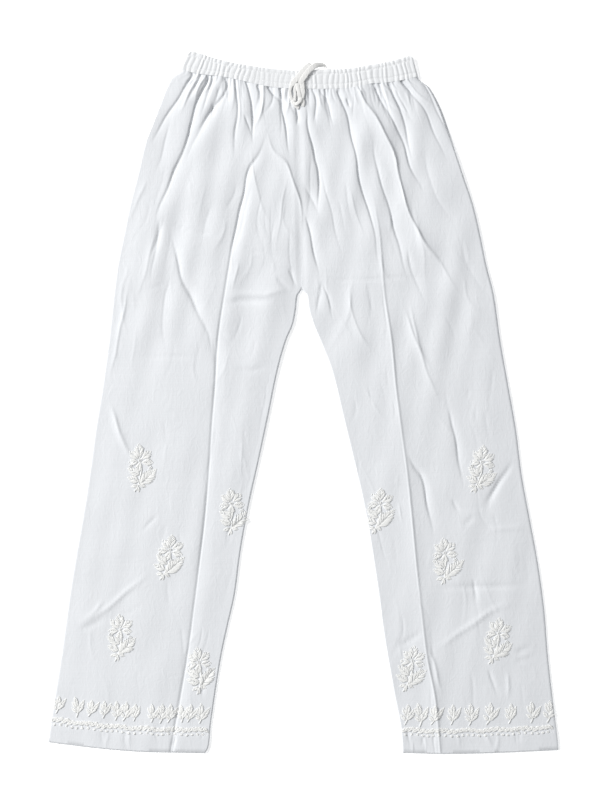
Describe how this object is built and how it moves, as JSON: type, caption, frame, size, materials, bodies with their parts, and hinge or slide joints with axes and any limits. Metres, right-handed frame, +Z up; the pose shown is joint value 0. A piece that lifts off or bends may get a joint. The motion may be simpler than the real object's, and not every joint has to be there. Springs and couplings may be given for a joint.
{
  "type": "straight pants",
  "caption": "Straight-leg cotton pants lying flat, with a gathered elastic waistband, a knotted drawstring, pressed creases and raised embroidery on the lower legs.",
  "frame": {"origin": "centre of the footprint, on the surface that the pants lie on", "axes": "+Y from the hems to the waistband, +X to the wearer's left, +Z up through the back and then the front"},
  "size_m": [0.7141, 0.985, 0.0145],
  "materials": {
    "cotton": "thin plain-weave white cotton, matt, softly creased",
    "waist_cotton": "plain-weave white cotton gathered over elastic, with two rows of stitching",
    "embroidery": "raised white cotton thread with a slight sheen",
    "tie": "soft white cotton tape, slightly warmer than the cloth"
  },
  "bodies": {
    "root": {"right_front_leg": "cotton", "right_back_leg": "cotton", "right_hem_border": "embroidery", "sprig_right_knee_outer": "embroidery", "sprig_right_calf_middle": "embroidery", "sprig_right_knee_inner": "embroidery", "sprig_right_calf_outer": "embroidery", "sprig_right_calf_inner": "embroidery", "left_front_leg": "cotton", "left_back_leg": "cotton", "left_hem_border": "embroidery", "sprig_left_knee_outer": "embroidery", "sprig_left_knee_inner": "embroidery", "sprig_left_calf_middle": "embroidery", "sprig_left_calf_outer": "embroidery", "sprig_left_calf_inner": "embroidery", "waistband": "waist_cotton", "drawstring_right": "tie", "drawstring_left": "tie", "drawstring_knot": "tie"}
  },
  "joints": []
}
